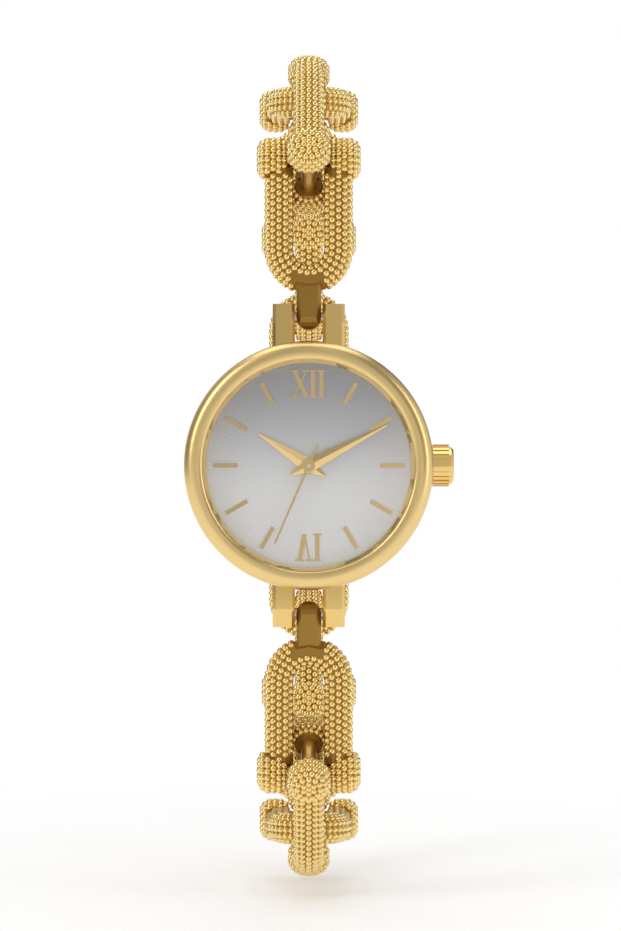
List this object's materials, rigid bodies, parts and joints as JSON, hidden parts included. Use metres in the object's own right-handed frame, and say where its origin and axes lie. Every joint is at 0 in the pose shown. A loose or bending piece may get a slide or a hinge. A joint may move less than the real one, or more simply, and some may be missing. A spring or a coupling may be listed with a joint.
{
  "type": "bracelet watch",
  "caption": "Round slim wristwatch with a pale dial on a closed chain bracelet of grained horseshoe links joined by crossed rods.",
  "frame": {"origin": "centre of the case back's outer face", "axes": "+Y out of the case back towards the wrist, so the dial faces -Y; +Z towards 12 o'clock; +X towards the crown"},
  "size_m": [0.0261, 0.0401, 0.0836],
  "materials": {
    "polished_gold": "polished gold plate over brass",
    "textured_gold": "gold plate over brass, the outer faces covered in fine round grains",
    "satin_gold": "satin gold plate over brass",
    "silver_dial": "silver-white sunray lacquer over brass",
    "crystal_glass": "polished clear mineral glass",
    "steel": "brushed stainless steel",
    "movement_brass": "plain nickel-washed brass plate",
    "black_rubber": "matt rubber",
    "copper_wire": "lacquered winding wire",
    "magnet_nickel": "nickel-plated magnet"
  },
  "bodies": {
    "case": {"case_body": "polished_gold", "bezel_ring": "polished_gold", "crystal": "crystal_glass", "dial": "silver_dial", "hour_markers": "polished_gold", "movement_plate": "movement_brass", "battery": "steel", "drive_coil": "copper_wire", "case_back": "steel", "back_gasket": "black_rubber", "crown_tube": "steel", "spring_bar_top": "steel", "spring_bar_bottom": "steel"},
    "hour_hand": {"hour_hand": "polished_gold"},
    "minute_hand": {"minute_hand": "polished_gold"},
    "seconds_hand": {"seconds_hand": "polished_gold"},
    "setting": {"setting_lever": "steel"},
    "crown": {"crown": "polished_gold", "stem": "steel"},
    "top_1": {"link_top_1": "textured_gold", "rod_top_1": "satin_gold"},
    "top_2": {"link_top_2": "textured_gold", "rod_top_2": "satin_gold"},
    "top_3": {"link_top_3": "textured_gold", "rod_top_3": "satin_gold"},
    "top_4": {"link_top_4": "textured_gold", "rod_top_4": "satin_gold"},
    "top_5": {"link_top_5": "textured_gold", "rod_top_5": "satin_gold"},
    "top_6": {"link_top_6": "textured_gold", "rod_top_6": "satin_gold"},
    "top_7": {"link_top_7": "textured_gold", "rod_top_7": "satin_gold", "clasp_cup_top": "polished_gold", "clasp_magnet_top": "magnet_nickel"},
    "bottom_1": {"link_bottom_1": "textured_gold", "rod_bottom_1": "satin_gold"},
    "bottom_2": {"link_bottom_2": "textured_gold", "rod_bottom_2": "satin_gold"},
    "bottom_3": {"link_bottom_3": "textured_gold", "rod_bottom_3": "satin_gold"},
    "bottom_4": {"link_bottom_4": "textured_gold", "rod_bottom_4": "satin_gold"},
    "bottom_5": {"link_bottom_5": "textured_gold", "rod_bottom_5": "satin_gold"},
    "bottom_6": {"link_bottom_6": "textured_gold", "rod_bottom_6": "satin_gold"},
    "bottom_7": {"link_bottom_7": "textured_gold", "rod_bottom_7": "satin_gold", "clasp_cup_bottom": "polished_gold", "clasp_magnet_bottom": "magnet_nickel"}
  },
  "joints": [
    {"name": "minute_turn", "type": "hinge", "parent": "case", "child": "minute_hand", "pos_m": [0, -0.0054, 0], "axis": [0, 1, 0], "continuous": true},
    {"name": "hour_turn", "type": "hinge", "parent": "case", "child": "hour_hand", "pos_m": [0, -0.0051, 0], "axis": [0, 1, 0], "continuous": true},
    {"name": "seconds_turn", "type": "hinge", "parent": "case", "child": "seconds_hand", "pos_m": [0, -0.0057, 0], "axis": [0, 1, 0], "continuous": true},
    {"name": "crown_pull", "type": "slide", "parent": "case", "child": "setting", "axis": [1, 0, 0], "range_m": [0, 0.001]},
    {"name": "crown_spin", "type": "hinge", "parent": "setting", "child": "crown", "pos_m": [0.0128, -0.003, 0], "axis": [1, 0, 0], "continuous": true},
    {"name": "top_hinge_1", "type": "hinge", "parent": "case", "child": "top_1", "pos_m": [0, -0.0025, 0.0144], "axis": [1, 0, 0], "range_deg": [0, 15]},
    {"name": "top_hinge_2", "type": "hinge", "parent": "top_1", "child": "top_2", "pos_m": [0, -0.0025, 0.02981], "axis": [1, 0, 0], "range_deg": [0, 25]},
    {"name": "top_hinge_3", "type": "hinge", "parent": "top_2", "child": "top_3", "pos_m": [0, 0.00134, 0.03596], "axis": [1, 0, 0], "range_deg": [0, 50]},
    {"name": "top_hinge_4", "type": "hinge", "parent": "top_3", "child": "top_4", "pos_m": [0, 0.01298, 0.03637], "axis": [1, 0, 0], "range_deg": [0, 20]},
    {"name": "top_hinge_5", "type": "hinge", "parent": "top_4", "child": "top_5", "pos_m": [0, 0.01988, 0.03413], "axis": [1, 0, 0], "range_deg": [0, 40]},
    {"name": "top_hinge_6", "type": "hinge", "parent": "top_5", "child": "top_6", "pos_m": [0, 0.02605, 0.02425], "axis": [1, 0, 0], "range_deg": [0, 17]},
    {"name": "top_hinge_7", "type": "hinge", "parent": "top_6", "child": "top_7", "pos_m": [0, 0.02793, 0.01724], "axis": [1, 0, 0], "range_deg": [0, 13]},
    {"name": "bottom_hinge_1", "type": "hinge", "parent": "case", "child": "bottom_1", "pos_m": [0, -0.0025, -0.0144], "axis": [-1, 0, 0], "range_deg": [0, 15]},
    {"name": "bottom_hinge_2", "type": "hinge", "parent": "bottom_1", "child": "bottom_2", "pos_m": [0, -0.0025, -0.02981], "axis": [-1, 0, 0], "range_deg": [0, 25]},
    {"name": "bottom_hinge_3", "type": "hinge", "parent": "bottom_2", "child": "bottom_3", "pos_m": [0, 0.00134, -0.03596], "axis": [-1, 0, 0], "range_deg": [0, 50]},
    {"name": "bottom_hinge_4", "type": "hinge", "parent": "bottom_3", "child": "bottom_4", "pos_m": [0, 0.01298, -0.03637], "axis": [-1, 0, 0], "range_deg": [0, 20]},
    {"name": "bottom_hinge_5", "type": "hinge", "parent": "bottom_4", "child": "bottom_5", "pos_m": [0, 0.01988, -0.03413], "axis": [-1, 0, 0], "range_deg": [0, 40]},
    {"name": "bottom_hinge_6", "type": "hinge", "parent": "bottom_5", "child": "bottom_6", "pos_m": [0, 0.02605, -0.02425], "axis": [-1, 0, 0], "range_deg": [0, 17]},
    {"name": "bottom_hinge_7", "type": "hinge", "parent": "bottom_6", "child": "bottom_7", "pos_m": [0, 0.02793, -0.01724], "axis": [-1, 0, 0], "range_deg": [0, 13]}
  ],
  "couplings": [
    {"joint": "hour_turn", "follows": "minute_turn", "ratio": 0.083333}
  ]
}
